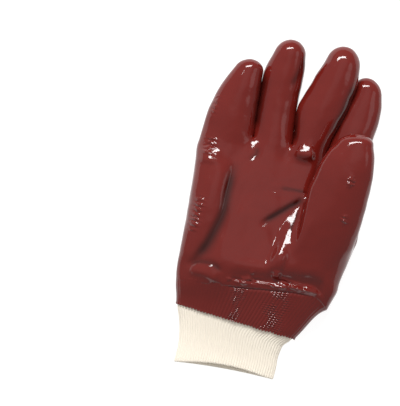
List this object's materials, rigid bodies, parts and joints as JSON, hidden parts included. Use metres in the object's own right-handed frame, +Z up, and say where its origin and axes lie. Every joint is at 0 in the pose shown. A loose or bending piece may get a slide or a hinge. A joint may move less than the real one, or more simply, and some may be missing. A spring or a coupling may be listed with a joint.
{
  "type": "pvc coated work glove",
  "caption": "Right-hand work glove with a glossy PVC-coated, cotton-lined hollow hand and a rib-knit wrist, lying palm up.",
  "frame": {"origin": "centre of the bounding box on its lowest plane, where the back of the glove lies", "axes": "+Y from the cuff to the fingertips, +X to the thumb side, +Z up from the back of the hand to the palm"},
  "size_m": [0.1384, 0.2716, 0.0576],
  "materials": {
    "pvc_coat": "wet-look gloss on a dipped coat",
    "rib_knit": "undyed cotton rib knit"
  },
  "bodies": {
    "root": {"coated_hand": "pvc_coat", "knit_wrist": "rib_knit"}
  },
  "joints": []
}
